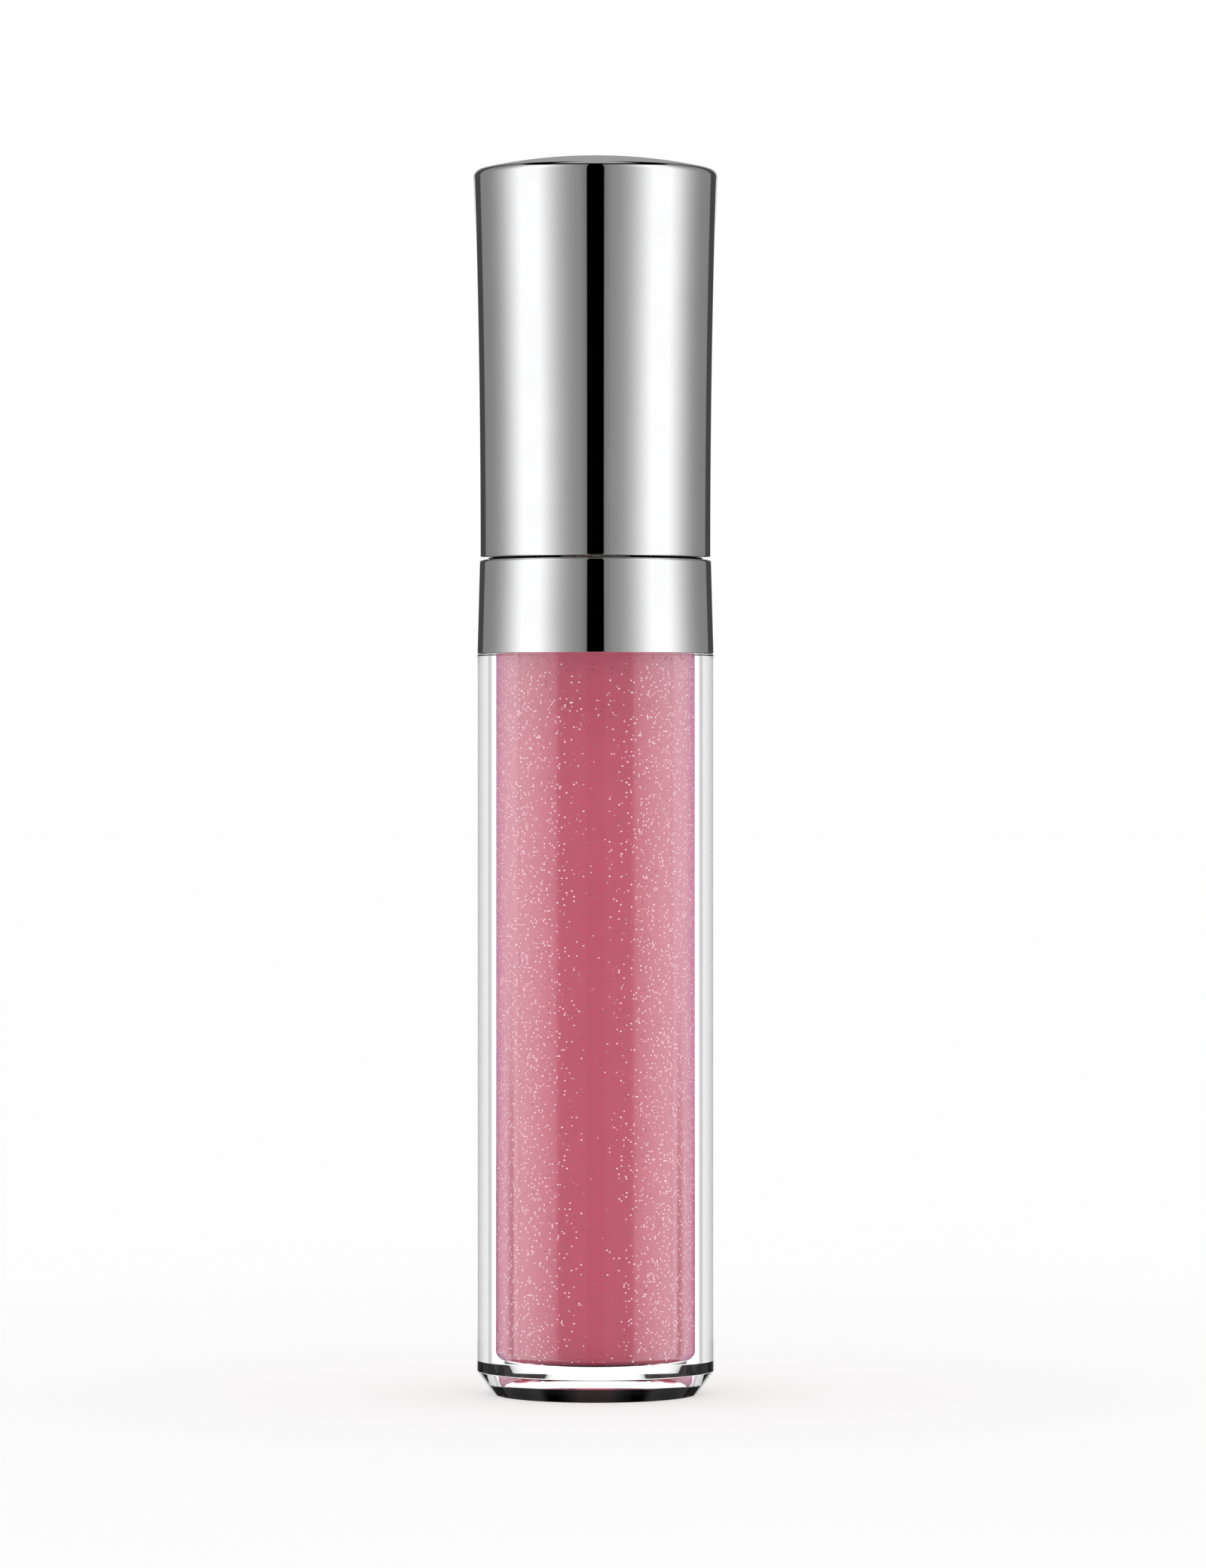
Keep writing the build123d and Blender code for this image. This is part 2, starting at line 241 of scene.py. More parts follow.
# %% A material and its nodes
class Finish:
    """One material, and short ways to add the nodes that it needs."""

    def __init__(self, name):
        self.material = bpy.data.materials.new(name)
        self.material.use_nodes = True
        self.tree = self.material.node_tree
        self.tree.nodes.clear()
        self.output = self.tree.nodes.new("ShaderNodeOutputMaterial")

    def feed(self, socket, value):
        """Links a signal to a socket, or sets a plain value. A colour gets its fourth number, 1, here."""
        if isinstance(value, Signal):
            self.tree.links.new(value.socket, socket)
        elif isinstance(value, tuple) and len(value) == 3 and len(socket.default_value) == 4:
            socket.default_value = (*value, 1)
        else:
            socket.default_value = value

    def node(self, kind, settings=None, inputs=None, output=0):
        """Node of a type, with its settings made first, then its inputs, as a signal of one output."""
        node = self.tree.nodes.new(kind)
        for key, value in (settings or {}).items():
            setattr(node, key, value)
        for key, value in (inputs or {}).items():
            self.feed(node.inputs[key], value)
        return Signal(self, node.outputs[output])

    def place(self):
        """Object coordinates in millimetres."""
        coordinates = self.node("ShaderNodeTexCoord", output="Object")
        return self.node("ShaderNodeMapping", inputs={"Vector": coordinates, "Scale": (1 / MM,) * 3})

    def axes(self):
        """The three object coordinates in millimetres, each as a signal."""
        split = self.node("ShaderNodeSeparateXYZ", inputs={"Vector": self.place()})
        return [Signal(self, socket) for socket in split.socket.node.outputs]

    def noise(self, scale, detail=3.0):
        """Cloudy noise from 0 to 1, with features of about 1 / scale millimetres."""
        inputs = {"Vector": self.place(), "Scale": scale, "Detail": detail}
        return self.node("ShaderNodeTexNoise", inputs=inputs)

    def vector(self, operation, first, second=None):
        """Vector Math node on one or two vectors."""
        inputs = {0: first} if second is None else {0: first, 1: second}
        return self.node("ShaderNodeVectorMath", {"operation": operation}, inputs)

    def blend_colour(self, factor, first, second):
        """Colour that goes from the first at a factor of 0 to the second at 1."""
        node = self.tree.nodes.new("ShaderNodeMix")
        node.data_type = "RGBA"
        for key, value in (("Factor_Float", factor), ("A_Color", first), ("B_Color", second)):
            self.feed(next(socket for socket in node.inputs if socket.identifier == key), value)
        return Signal(self, next(socket for socket in node.outputs if socket.identifier == "Result_Color"))

    def blend_shader(self, factor, first, second):
        """Shader that goes from the first at a factor of 0 to the second at 1."""
        return self.node("ShaderNodeMixShader", inputs={0: factor, 1: first, 2: second})

    def bump(self, height, distance, strength):
        """Normal of a relief that is a distance deep, in metres."""
        inputs = {"Height": height, "Distance": distance, "Strength": strength}
        return self.node("ShaderNodeBump", inputs=inputs)

    def principled(self, **inputs):
        """Principled shader, with an input's spaces written as underscores."""
        named = {key.replace("_", " "): value for key, value in inputs.items()}
        return self.node("ShaderNodeBsdfPrincipled", inputs=named)

    def done(self, shader):
        """Sends the shader to the output and gives the finished material."""
        self.tree.links.new(shader.socket, self.output.inputs["Surface"])
        print(f"finish {self.material.name}: {len(self.tree.nodes)} nodes")
        return self.material


# %% A piece, dressed and tied to its body
def dress(piece, material, body, node):
    """Gives a piece its material and slot, and lets it ride on a body in place of a node of the frame."""
    piece.data.materials.clear()
    piece.data.materials.append(material)
    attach(piece, body)
    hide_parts(node)


# %% [markdown]
# ## Bright metal
# The cap and collar are plastic shells with a film of metal laid on in a vacuum and a clear lacquer over
# it. Such a film is a near perfect mirror, so almost all of its look is the studio in it. What makes it
# real is small: the lacquer levels into very long shallow waves, and handling leaves faint haze.

# %% Bright metal finish
# the third colour is dark unmetallised plastic, and also painted shade in the gap between the cap and the
# collar
FILM_COLOUR, HAZE_COLOUR, BARE_PLASTIC_AND_GAP_SHADE = (0.93, 0.93, 0.935), (0.9, 0.9, 0.91), (0.012, 0.012, 0.013)
RELIEF = 0.01 * MM      # depth of the waves in lacquer, of mould marks and of other faint unevenness


def bright_metal(name, bore, ceiling, mouth):
    """Mirror film outside, and dark unmetallised plastic inside a bore between its mouth and its ceiling,
    which also paints the shade in the hairline gap between the cap and the collar.

    The dark part is the product of three soft steps: radius under the bore's, height under the
    ceiling's and height over the mouth's, each with an allowance in millimetres.
    """
    finish = Finish(name)
    x, y, z = finish.axes()
    radius = (x * x + y * y) ** 0.5
    # dark unmetallised plastic inside, which also paints the shade in the gap between the cap and the collar
    bare_and_gap_shade = (1 - radius.above(bore / MM + 0.15, 0.04)) * (1 - z.above(ceiling / MM + 0.3, 0.1))
    bare_and_gap_shade = bare_and_gap_shade * z.above(mouth / MM, 0.1)
    haze = finish.noise(0.25, detail=4.0).above(0.62, 0.3)
    grain = finish.noise(9.0, detail=2.0)
    film = finish.blend_colour(haze, FILM_COLOUR, HAZE_COLOUR)
    return finish.done(finish.principled(
        Base_Color=finish.blend_colour(bare_and_gap_shade, film, BARE_PLASTIC_AND_GAP_SHADE), Metallic=1 - bare_and_gap_shade,
        Roughness=0.02 + haze * 0.014 + grain * 0.006 + bare_and_gap_shade * 0.35,
        Normal=finish.bump(finish.noise(0.12, detail=1.0), RELIEF, 0.15)))


# %% [markdown]
# ## The cap shell
# Seen from the side, the cap widens slowly towards its top: its flank is a parabola that starts upright
# at the rim. A shallow spherical dome closes it, and the corner between them is a small quarter round,
# where the studio lights wrap over and end in a thin dark line.

# %% Cap shell
CAP_ROUND, CAP_WALL, CAP_DOME, CAP_FLARE = 0.7 * MM, 0.8 * MM, 1.15 * MM, 0.48 * MM
CAP_SHOULDER = CAP_APEX - CAP_DOME
DOME_MARGIN = 1.1 * MM      # width that the dome's points leave free for the corner's round
FLANK_TOP, FLANK_FOOT = 0.965, 0.01      # shares of the way up between which the flank has points
DOME_POINTS, FLANK_POINTS = 24, 26
RIM_OUTER, RIM_INNER, CEILING_ROUND = 0.12 * MM, 0.15 * MM, 0.3 * MM


def cap_profile():
    """From the dome's middle over the flank to the rim, and back up the bore to the ceiling.

    The dome's sphere has the radius (r^2 + h^2) / 2h for a rise h over a half width r. At a share s of
    the way up from the rim, the flank's radius is the rim's plus the flare times s squared.
    """
    top_r = CAP_RIM_R + CAP_FLARE
    sphere = (top_r ** 2 + CAP_DOME ** 2) / (2 * CAP_DOME)
    dome_r = np.linspace(0, top_r - DOME_MARGIN, DOME_POINTS)
    dome = np.column_stack([dome_r, CAP_APEX - sphere + np.sqrt(sphere ** 2 - dome_r ** 2)])
    share = np.linspace(FLANK_TOP, FLANK_FOOT, FLANK_POINTS)
    flank = np.column_stack([CAP_RIM_R + CAP_FLARE * share ** 2, CAP_RIM + share * (CAP_SHOULDER - CAP_RIM)])
    bore, ceiling = CAP_RIM_R - CAP_WALL, LINER_TOP + FILM
    inside = [(bore, CAP_RIM), (bore, ceiling), (0, ceiling)]
    points = np.concatenate([dome, [(top_r, CAP_SHOULDER)], flank, [(CAP_RIM_R, CAP_RIM)], inside])
    radii = np.zeros(len(points) - 2)
    radii[len(dome) - 1] = CAP_ROUND
    radii[len(dome) + len(flank):] = RIM_OUTER, RIM_INNER, CEILING_ROUND
    return rounded(points, radii)


cap_metal = bright_metal("bright_metal_cap", CAP_RIM_R - CAP_WALL, LINER_TOP, CAP_RIM - MM)
dress(turned("cap_shell_turned", cap_profile()), cap_metal, "closure", "cap_shell")

# %% [markdown]
# ## The collar
# The collar hides the bottle's shoulder. It leans in by a fifth of a millimetre on its way up, and its
# top edge is rounded, so a hairline of shadow shows between it and the cap. Inside, its top web is dark
# unmetallised plastic, which paints that hairline darker as painted shade.

# %% Collar
COLLAR_ROUND, COLLAR_EDGE = 0.28 * MM, 0.06 * MM
WEB_CLEARANCE = 0.2 * MM


def collar_profile():
    """Closed ring: out along the bottom, up the leaning side, in over the web, and down the bore."""
    web = NECK_R + THREAD_DEPTH + WEB_CLEARANCE
    bore = COLLAR_TOP_R - COLLAR_WALL
    middle = (bore + COLLAR_R) / 2
    points = [
        (middle, COLLAR_BOTTOM), (COLLAR_R, COLLAR_BOTTOM), (COLLAR_TOP_R, COLLAR_TOP), (web, COLLAR_TOP),
        (web, BOSS_TOP), (bore, BOSS_TOP), (bore, COLLAR_BOTTOM), (middle - GUARD, COLLAR_BOTTOM),
    ]
    return rounded(points, [COLLAR_EDGE, COLLAR_ROUND] + [COLLAR_EDGE] * 4)


collar_metal = bright_metal("bright_metal_collar", COLLAR_TOP_R - COLLAR_WALL, COLLAR_TOP, BOSS_TOP - MM)
dress(turned("collar_turned", collar_profile()), collar_metal, "tube", "collar")

# %% [markdown]
# ## The screw thread
# The neck's thread is one right-hand ridge. A ring of its own, laid over the neck, would be easy, but two
# clear bodies that overlap show a false wall between them. So the neck's own wall swells into the ridge.

# %% A screw thread as a swell of the wall
THREAD_LEAD, THREAD_TURNS, THREAD_ROOT, THREAD_CREST = 2.5 * MM, 1.5, 1.3 * MM, 0.6 * MM
RUNOUT = 12      # the ridge rises and falls over one part in this many of a turn


def thread_swell(start, low_radius, high_radius):
    """Swell of a wall whose radius lies between two limits into a helical ridge.

    At angle t the ridge's middle is at start + lead (t / 2 pi + k) for each whole k, and the ridge
    falls off from its flat crest to its root. It rises out of the wall at its first end and sinks
    into it at its last.
    """
    def swell(turn, height, radius):
        """Thread's depth times the ridge's share of it, over the walls between the two radii."""
        total = 0 * turn * height
        for whole in range(int(THREAD_TURNS) + 1):
            travelled = turn / (2 * np.pi) + whole
            away = np.abs(height - start - THREAD_LEAD * travelled)
            ridge = np.clip((THREAD_ROOT / 2 - away) / ((THREAD_ROOT - THREAD_CREST) / 2), 0, 1)
            ends = np.clip(RUNOUT * travelled, 0, 1) * np.clip(RUNOUT * (THREAD_TURNS - travelled), 0, 1)
            total = np.maximum(total, ridge * ends)
        return THREAD_DEPTH * total * ((radius > low_radius) & (radius < high_radius))
    return swell


# %% [markdown]
# ## The clear bottle
# The bottle is one thick moulding of clear plastic, so it is one closed surface with its reservoir as
# the inside of it: light then bends once on its way in and once on its way out, which widens the gloss
# to the eye and draws bright and dark lines down the wall. The foot is bevelled, and the recess under
# it takes the label.

# %% Bottle
FOOT_INSET, FOOT_BEVEL, FOOT_ROUND = 1.35 * MM, 1.9 * MM, 0.12 * MM
RING_WIDTH, LABEL_SEAT = 0.3 * MM, 1.34 * MM
EDGE, LIP_ROUND, BORE_ROUND, RESERVOIR_ROUND = 0.08 * MM, 0.2 * MM, 0.5 * MM, 0.8 * MM
NECK_MARGIN, NECK_ROWS = 0.6 * MM, 130
NECK_TAPER = 3 * MM      # height over which the reservoir narrows to the neck's bore
THREAD_GAP, ON_NECK = 1.9 * MM, 0.01 * MM      # the thread's start over the boss, and a radius's tolerance


def bottle_profile():
    """From the middle of the recess out over the foot, up the wall and neck, and down the inside.

    The neck gets many level rows, so that the thread has points to swell.
    """
    foot_r = BARREL_R - FOOT_INSET
    recess_r = foot_r - RING_WIDTH
    boss_r = COLLAR_TOP_R - COLLAR_WALL - SLIP
    outline = [
        ((0, LABEL_SEAT), 0), ((recess_r, LABEL_SEAT), EDGE), ((recess_r, FOOT_Z), EDGE),
        ((foot_r, FOOT_Z), FOOT_ROUND), ((BARREL_R, FOOT_BEVEL), FOOT_ROUND),
        ((BARREL_R, COLLAR_BOTTOM), EDGE), ((boss_r, COLLAR_BOTTOM), EDGE), ((boss_r, BOSS_TOP), EDGE),
        ((NECK_R, BOSS_TOP), LIP_ROUND),
    ]
    rows = np.linspace(BOSS_TOP + NECK_MARGIN, NECK_TOP - NECK_MARGIN, NECK_ROWS)
    neck = [((NECK_R, height), 0) for height in rows]
    inside = [
        ((NECK_R, NECK_TOP), LIP_ROUND), ((NECK_BORE, NECK_TOP), LIP_ROUND),
        ((NECK_BORE, BOSS_TOP), BORE_ROUND), ((RESERVOIR_R, BOSS_TOP - NECK_TAPER), BORE_ROUND),
        ((RESERVOIR_R, RESERVOIR_FLOOR), RESERVOIR_ROUND), ((0, RESERVOIR_FLOOR), 0),
    ]
    corners, radii = zip(*(outline + neck + inside))
    return rounded(corners, radii[1:-1])


def clear_wall():
    """Polished clear plastic with a breath of unevenness from the mould."""
    finish = Finish("clear_wall")
    return finish.done(finish.principled(
        Base_Color=(0.995, 0.998, 0.998), Transmission_Weight=1.0, IOR=1.5,
        Roughness=finish.noise(0.6) * 0.004,
        Normal=finish.bump(finish.noise(0.15, detail=1.0), RELIEF, 0.1)))


neck_thread = thread_swell(BOSS_TOP + THREAD_GAP, NECK_R - ON_NECK, NECK_R + ON_NECK)
bottle = turned("bottle_moulding", bottle_profile(), neck_thread, around=380)
dress(bottle, clear_wall(), "tube", "bottle")
# Soft light passes the clear wall almost unweakened, so it is let straight through to the gloss.
bottle.visible_diffuse = bottle.visible_shadow = False

# %% [markdown]
# ## The gloss
# The fill is a thick rose gel with two sizes of pearl in it. Fine pearl gives the whole fill a satin
# skin, which is faint face on and strong at a slant, and its film's own edge tint is mauve. Coarse flakes
# lean a little each way, so only those that happen to face a lamp flash. They are drawn as the middles of
# scattered small cells, each with a normal of its own, which costs nothing in points.

# %% Satin gel
GEL_DEEP, GEL_LIGHT, GEL_PAINTED_LIGHT = (0.54, 0.100, 0.156), (0.60, 0.118, 0.174), (0.95, 0.21, 0.31)
PEARL, PEARL_RIM = (1.0, 0.80, 0.86), (0.50, 0.36, 0.60)


def satin_gel(finish):
    """Rose gel under fine pearl, as a shader.

    At a slant f, from 0 face on to 1 at the edge, the pearl's share is 0.035 + 0.75 f - 0.38 f^2. The
    gel is painted lighter in its last few millimetres under the collar, as painted light that offsets
    the shade the collar casts there.
    """
    facing = finish.node("ShaderNodeLayerWeight", inputs={"Blend": 0.5}, output="Facing")
    rose = finish.blend_colour(finish.noise(0.3), GEL_DEEP, GEL_LIGHT)
    # painted light: the gel's colour lightens towards the fill's top, against the shade the collar casts
    # there
    painted_light_near_top = finish.axes()[2].above(FILL_LEVEL / MM - 5.0, 4.0)
    rose = finish.blend_colour(painted_light_near_top * 0.45, rose, GEL_PAINTED_LIGHT)
    gel = finish.principled(Base_Color=rose, Roughness=0.5, IOR=1.1)
    pearl = finish.principled(Base_Color=PEARL, Metallic=1.0, Roughness=0.14, Specular_Tint=PEARL_RIM)
    return finish.blend_shader(0.035 + facing * 0.75 - facing * facing * 0.38, gel, pearl)


# %% Coarse flakes
FLAKES_PER_MM, FLAKE_SHARE, FLAKE_LEAN = 6.2, 0.24, (0.66, 0.66, 0.30)
FLAKE_COLOUR, FLAKE_IOR = (1.0, 0.25, 0.36), 7.5


def shimmering_gel():
    """The satin gel with a flake in the middle of about a quarter of its cells.

    A flake's normal is the surface's plus the lean times a random vector of its own cell, made a unit
    vector again. Its high refractive index mirrors over half of the light, and the rest comes back rose.
    """
    finish = Finish("shimmering_gel")
    cells = {"Vector": finish.place(), "Scale": FLAKES_PER_MM, "Randomness": 1.0}
    settings = {"voronoi_dimensions": "3D", "feature": "F1"}
    away = finish.node("ShaderNodeTexVoronoi", settings, cells, "Distance")
    draw = finish.node("ShaderNodeTexVoronoi", settings, cells, "Color")
    lottery = finish.node("ShaderNodeSeparateColor", inputs={"Color": draw}, output="Blue")
    lean = finish.vector("MULTIPLY", finish.vector("SUBTRACT", draw, (0.5, 0.5, 0.5)), FLAKE_LEAN)
    upright = finish.node("ShaderNodeNewGeometry", output="Normal")
    own_normal = finish.vector("NORMALIZE", finish.vector("ADD", upright, lean))
    flake = finish.principled(Base_Color=FLAKE_COLOUR, Roughness=0.12, IOR=FLAKE_IOR, Normal=own_normal)
    is_flake = lottery.above(1 - FLAKE_SHARE, 0.02) * (1 - away.above(0.4, 0.06))
    return finish.done(finish.blend_shader(is_flake, satin_gel(finish), flake))


# %% [markdown]
# The gel wets the wall, so its side is set a hair inside the plastic, and no air line shows. Only under
# the fill is a film of air left, which mirrors the light as the real floor does. The fill stays clear of
# the wand by a round channel and a pocket, which the gel hides.

# %% Gloss piece
WAND_ROOM, WETTING, LEVEL_ROUND = 0.3 * MM, 0.012 * MM, 0.3 * MM
DRY_BELOW = np.radians(-50)      # angle on the lower corner's arc under which the gel leaves the wall
POCKET_R, POCKET_TOP, POCKET_TAPER = 4.6 * MM, 4 * MM, 2 * MM


def gloss_profile():
    """Outside of the fill, and the round channel and pocket that keep it off the wand.

    The lower corner is an arc of the reservoir's own round, a little larger where the gel wets the
    wall and a little smaller where it leaves it.
    """
    side = RESERVOIR_R + WETTING
    turn = np.radians(np.linspace(-90, 0, 19))
    reach = RESERVOIR_ROUND + np.where(turn < DRY_BELOW, -FILM, WETTING)
    centre_r, centre_z = RESERVOIR_R - RESERVOIR_ROUND, RESERVOIR_FLOOR + RESERVOIR_ROUND
    corner = np.column_stack([centre_r + reach * np.cos(turn), centre_z + reach * np.sin(turn)])
    channel, floor = STEM_R + WAND_ROOM, LEAF_TIP - WAND_ROOM
    pocket_top = LEAF_BASE + POCKET_TOP
    inside = [
        (side, FILL_LEVEL), (channel, FILL_LEVEL), (channel, pocket_top + POCKET_TAPER),
        (POCKET_R, pocket_top), (POCKET_R, floor), (0, floor),
    ]
    points = np.concatenate([[(0, FILL_BOTTOM)], corner, inside])
    radii = np.zeros(len(points) - 2)
    radii[len(corner)] = LEVEL_ROUND
    return rounded(points, radii)


dress(turned("gloss_fill", gloss_profile()), shimmering_gel(), "tube", "gloss")

# %% [markdown]
# ## The wiper
# A soft plug of natural polyethylene sits in the neck. Its flange rests on the neck's rim, and its
# funnel ends in the lip that scrapes the stem. It is milky, so it lets a little light through.

# %% Milky plastic finish
def milky(name, colour, roughness, glow, grain=3.0):
    """Soft milky plastic: a little light goes through it, and its skin is faintly uneven."""
    finish = Finish(name)
    cloud = finish.noise(grain / 6)
    darker = tuple(0.93 * channel for channel in colour)
    return finish.done(finish.principled(
        Base_Color=finish.blend_colour(cloud, darker, colour), Roughness=roughness + cloud * 0.12,
        IOR=1.5, Transmission_Weight=glow,
        Normal=finish.bump(finish.noise(grain, detail=2.0), RELIEF, 0.3)))


# %% Wiper
WIPER_WALL, WIPER_SLEEVE = 0.6 * MM, 5.0 * MM
WIPER_EDGE, FUNNEL_ROUND = 0.12 * MM, 0.5 * MM


def wiper_profile():
    """Closed ring: flange, outside of the sleeve and funnel, the lip, and back up the inside."""
    outer = NECK_BORE - SLIP
    inner, lip = outer - WIPER_WALL, STEM_R + SLIP
    sleeve_end = NECK_TOP - WIPER_SLEEVE
    middle = (outer + inner) / 2
    outline = [
        ((middle, WIPER_TOP), 0), ((WIPER_R, WIPER_TOP), WIPER_EDGE), ((WIPER_R, NECK_TOP), WIPER_EDGE),
        ((outer, NECK_TOP), 0), ((outer, sleeve_end), FUNNEL_ROUND),
        ((lip + WIPER_WALL, WIPER_LIP), WIPER_EDGE), ((lip, WIPER_LIP), WIPER_EDGE),
        ((inner, sleeve_end), FUNNEL_ROUND), ((inner, WIPER_TOP), WIPER_EDGE),
        ((middle - GUARD, WIPER_TOP), 0),
    ]
    corners, radii = zip(*outline)
    return rounded(corners, radii[1:-1])


wiper_plastic = milky("wiper_plastic", (0.86, 0.86, 0.84), 0.35, 0.25)
dress(turned("wiper_plug", wiper_profile()), wiper_plastic, "tube", "wiper")

# %% [markdown]
# ## The stem
# The stem is one translucent moulding: a head that the liner's plate holds, a shank with a bead that
# snaps into the socket, and the long rod with a blind bore for the applicator's pin. It is one closed
# surface with the bore as its inside, so the pin and the air past it show as they do in a real one.

# %% Stem
SHANK_R, PIN_R = 2.6 * MM, 0.77 * MM
STEM_EDGE, SHANK_ROUND, END_ROUND, MOUTH_EDGE = 0.15 * MM, 0.3 * MM, 0.12 * MM, 0.05 * MM
STEM_HEAD_BOTTOM, STEM_HEAD_HEIGHT = GASKET_TOP + FILM, 1.2 * MM
BEAD_R, BEAD_RISE, BEAD_HEIGHT, PIN_AIR = 2.85 * MM, 5.5 * MM, 1.2 * MM, 2.8 * MM


def stem_profile():
    """From the shank's top down the outside to the rod's end, and up the bore."""
    head_top = STEM_HEAD_BOTTOM + STEM_HEAD_HEIGHT
    bead = head_top + BEAD_RISE
    bore, bore_top = PIN_R + SLIP / 2, PIN_TOP + PIN_AIR
    outline = [
        ((0, STEM_TOP), 0), ((SHANK_R, STEM_TOP), SHANK_ROUND), ((SHANK_R, bead + BEAD_HEIGHT), STEM_EDGE),
        ((BEAD_R, bead), STEM_EDGE), ((SHANK_R, bead), STEM_EDGE), ((SHANK_R, head_top), STEM_EDGE),
        ((STEM_HEAD_R, head_top), STEM_EDGE), ((STEM_HEAD_R, STEM_HEAD_BOTTOM), STEM_EDGE),
        ((STEM_R, STEM_HEAD_BOTTOM), STEM_EDGE), ((STEM_R, STEM_END), END_ROUND),
        ((bore, STEM_END), MOUTH_EDGE), ((bore, bore_top), SHANK_ROUND), ((0, bore_top), 0),
    ]
    corners, radii = zip(*outline)
    return rounded(corners, radii[1:-1])


def frosted():
    """Translucent polypropylene, finely frosted, with a wet film of gloss towards its lower end."""
    finish = Finish("stem_plastic")
    height = finish.axes()[2]
    cloud = finish.noise(0.5)
    wet = (1 - height.above(STEM_END / MM + 9, 14)) * finish.noise(0.35).above(0.5, 0.25)
    colour = finish.blend_colour(cloud, (0.9, 0.9, 0.9), (0.96, 0.96, 0.955))
    return finish.done(finish.principled(
        Base_Color=finish.blend_colour(wet * 0.5, colour, (0.93, 0.7, 0.74)),
        Roughness=0.22 + cloud * 0.1 - wet * 0.12, IOR=1.49, Transmission_Weight=0.72,
        Normal=finish.bump(finish.noise(5.0, detail=2.0), 0.8 * RELIEF, 0.25)))


dress(turned("stem_rod", stem_profile(), around=160), frosted(), "rod", "stem")

# %% [markdown]
# ## The applicator
# The doe-foot is a soft leaf, covered with short upright fibres that are fixed in glue by static
# charge. Wet with gloss, the fibres gather into small clumps. So the skin is a smooth leaf shape raised
# into clumps by a sum of waves, and thousands of loose fibre ends stand out of it and blur its outline.

# %% The leaf's stations
# share of the length from the base, half width, half thickness and lean towards +X in millimetres
LEAF_STATIONS = np.array([
    (0.00, 2.05, 1.84, 0.00), (0.18, 2.90, 1.80, 0.25), (0.38, 3.30, 1.70, 0.55), (0.62, 2.77, 1.50, 0.85),
    (0.82, 1.91, 1.16, 0.95), (0.94, 1.25, 0.82, 0.90), (1.00, 0.80, 0.50, 0.80),
])
LEAF_LENGTH = LEAF_BASE - LEAF_TIP


def between_stations(share):
    """Values at a share of the length, on cubic pieces that pass through the stations.

    Each piece is the Hermite cubic of its end values and of slopes taken across its neighbours.
    """
    knots, values = LEAF_STATIONS[:, 0], LEAF_STATIONS[:, 1:]
    slopes = np.gradient(values, knots, axis=0)
    piece = np.clip(np.searchsorted(knots, share) - 1, 0, len(knots) - 2)
    gap = (knots[piece + 1] - knots[piece])[:, None]
    t = (share - knots[piece])[:, None] / gap
    return (
        (1 + 2 * t) * (1 - t) ** 2 * values[piece] + t * (1 - t) ** 2 * gap * slopes[piece]
        + t ** 2 * (3 - 2 * t) * values[piece + 1] - t ** 2 * (1 - t) * gap * slopes[piece + 1])


print(f"leaf {LEAF_LENGTH / MM:.1f} mm long, {2 * LEAF_STATIONS[:, 1].max():.1f} mm wide")

# %% The leaf's surface
TIP_START, BASE_END, BASE_NARROWS = 0.93, 0.02, 0.28


def rounding(share):
    """Height of a quarter circle at a share of its width: the root of 1 - share squared."""
    return np.sqrt(np.clip(1 - share ** 2, 0, 1))[:, None]


def leaf_point(share, turn, inset):
    """Points of the leaf, drawn in by an inset.

    At share s of the length and angle t, the point is (lean + a cos t, b sin t, base - s L) with the
    half width a and half thickness b of the stations. Both ends close as quarter ellipses, the base
    only by a part of its width.
    """
    width, thickness, lean = (between_stations(share) * MM).T[:, :, None]
    tip = rounding(np.clip(share - TIP_START, 0, 1) / (1 - TIP_START))
    base = rounding(np.clip(BASE_END - share, 0, 1) / BASE_END)
    close = tip * (1 - BASE_NARROWS + BASE_NARROWS * base)
    height = LEAF_BASE - inset * 0.3 - share[:, None] * (LEAF_LENGTH - 1.3 * inset)
    x = lean + (width - inset) * close * np.cos(turn)
    y = (thickness - inset) * close * np.sin(turn)
    return np.stack([x, y, height + 0 * turn], 2)


# %% Clumps and normals
CLUMP_SEED, CLUMP_WAVES, CLUMP_PITCH = 3, 60, (0.25 * MM, 0.8 * MM)


def clumps(points):
    """Sum of waves in random directions, squeezed to -1 to 1, with pitches between the two limits."""
    random = np.random.default_rng(CLUMP_SEED)
    direction = random.normal(size=(CLUMP_WAVES, 3))
    pitch = random.uniform(*CLUMP_PITCH, CLUMP_WAVES)
    direction *= (2 * np.pi / pitch / np.linalg.norm(direction, axis=1))[:, None]
    phase = random.uniform(0, 2 * np.pi, CLUMP_WAVES)
    return np.tanh(np.sin(points @ direction.T + phase).sum(-1) / np.sqrt(CLUMP_WAVES / 2))


def unit_rows(vectors):
    """Each vector along the last axis over its own length."""
    return vectors / np.maximum(np.linalg.norm(vectors, axis=-1, keepdims=True), 1e-12)


def grid_normals(points):
    """Unit normals of a grid that closes across its columns, pointing away from its own axis.

    Each is the cross product of the steps across and down the grid. Its sign is taken row by row.
    """
    down = np.gradient(points, axis=0)
    across = np.roll(points, -1, 1) - np.roll(points, 1, 1)
    normal = unit_rows(np.cross(across, down))
    out_of_axis = (points - points.mean(1, keepdims=True)) * normal
    return normal * np.sign(out_of_axis.sum((1, 2), keepdims=True) + 1e-30)


# %% Fibre ends
FIBRES, FIBRE_SEED = 8400, 11
FIBRE_LENGTH, FIBRE_R, FIBRE_ROOT, FIBRE_LEAN = 0.30 * MM, 0.014 * MM, 0.03 * MM, 0.35


